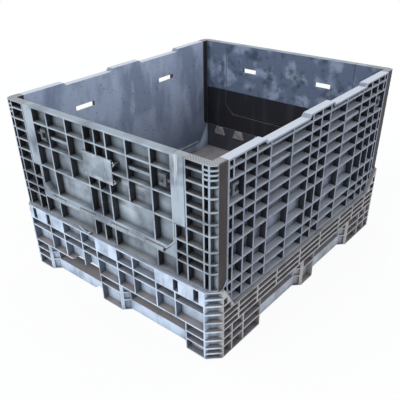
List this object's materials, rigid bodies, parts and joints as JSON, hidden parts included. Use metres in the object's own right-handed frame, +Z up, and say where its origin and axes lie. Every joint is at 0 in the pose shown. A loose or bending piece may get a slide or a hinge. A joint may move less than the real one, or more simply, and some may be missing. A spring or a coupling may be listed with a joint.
{
  "type": "folding bulk container",
  "caption": "Folding plastic bulk container: ribbed walls hinged to a four-way pallet base, with a drop door at each end, sliding latches and hand slots.",
  "frame": {"origin": "centre of the footprint, on the floor under the base", "axes": "+Z up, +Y along the long walls, +X along the door walls; the front door faces -Y and the right wall faces +X"},
  "size_m": [1.219, 1.448, 0.864],
  "materials": {
    "base_plastic": "weathered structural foam polyethylene, light blue-grey",
    "door_wall_plastic": "weathered structural foam polyethylene, grey, with brown dirt on the posts",
    "door_plastic": "weathered structural foam polyethylene, grey",
    "side_plastic": "weathered structural foam polyethylene, blue-grey, streaked inside",
    "latch_plastic": "moulded plastic, light grey",
    "pin_steel": "dull steel rod"
  },
  "bodies": {
    "base_and_door_walls": {"base": "base_plastic", "front_wall": "door_wall_plastic", "back_wall": "door_wall_plastic", "front_door_pin": "pin_steel", "back_door_pin": "pin_steel", "right_wall_pin": "pin_steel", "left_wall_pin": "pin_steel"},
    "front_door": {"front_door": "door_plastic"},
    "front_door_latch_left": {"front_door_latch_left": "latch_plastic"},
    "front_door_latch_right": {"front_door_latch_right": "latch_plastic"},
    "back_door": {"back_door": "door_plastic"},
    "back_door_latch_left": {"back_door_latch_left": "latch_plastic"},
    "back_door_latch_right": {"back_door_latch_right": "latch_plastic"},
    "right_wall": {"right_wall": "side_plastic"},
    "right_wall_latch_left": {"right_wall_latch_left": "latch_plastic"},
    "right_wall_latch_right": {"right_wall_latch_right": "latch_plastic"},
    "left_wall": {"left_wall": "side_plastic"},
    "left_wall_latch_left": {"left_wall_latch_left": "latch_plastic"},
    "left_wall_latch_right": {"left_wall_latch_right": "latch_plastic"}
  },
  "joints": [
    {"name": "front_door_drop", "type": "hinge", "parent": "base_and_door_walls", "child": "front_door", "pos_m": [0, -0.711, 0.45], "axis": [1, 0, 0], "range_deg": [0, 172]},
    {"name": "front_door_latch_left_slide", "type": "slide", "parent": "front_door", "child": "front_door_latch_left", "axis": [-1, 0, 0], "range_m": [0, 0.02]},
    {"name": "front_door_latch_right_slide", "type": "slide", "parent": "front_door", "child": "front_door_latch_right", "axis": [1, 0, 0], "range_m": [0, 0.02]},
    {"name": "back_door_drop", "type": "hinge", "parent": "base_and_door_walls", "child": "back_door", "pos_m": [0, 0.711, 0.45], "axis": [-1, 0, 0], "range_deg": [0, 172]},
    {"name": "back_door_latch_left_slide", "type": "slide", "parent": "back_door", "child": "back_door_latch_left", "axis": [1, 0, 0], "range_m": [0, 0.02]},
    {"name": "back_door_latch_right_slide", "type": "slide", "parent": "back_door", "child": "back_door_latch_right", "axis": [-1, 0, 0], "range_m": [0, 0.02]},
    {"name": "right_wall_fold", "type": "hinge", "parent": "base_and_door_walls", "child": "right_wall", "pos_m": [0.5545, 0, 0.244], "axis": [0, -1, 0], "range_deg": [0, 90]},
    {"name": "right_wall_latch_left_slide", "type": "slide", "parent": "right_wall", "child": "right_wall_latch_left", "axis": [0, -1, 0], "range_m": [0, 0.02]},
    {"name": "right_wall_latch_right_slide", "type": "slide", "parent": "right_wall", "child": "right_wall_latch_right", "axis": [0, 1, 0], "range_m": [0, 0.02]},
    {"name": "left_wall_fold", "type": "hinge", "parent": "base_and_door_walls", "child": "left_wall", "pos_m": [-0.5545, 0, 0.244], "axis": [0, 1, 0], "range_deg": [0, 85]},
    {"name": "left_wall_latch_left_slide", "type": "slide", "parent": "left_wall", "child": "left_wall_latch_left", "axis": [0, 1, 0], "range_m": [0, 0.02]},
    {"name": "left_wall_latch_right_slide", "type": "slide", "parent": "left_wall", "child": "left_wall_latch_right", "axis": [0, -1, 0], "range_m": [0, 0.02]}
  ]
}
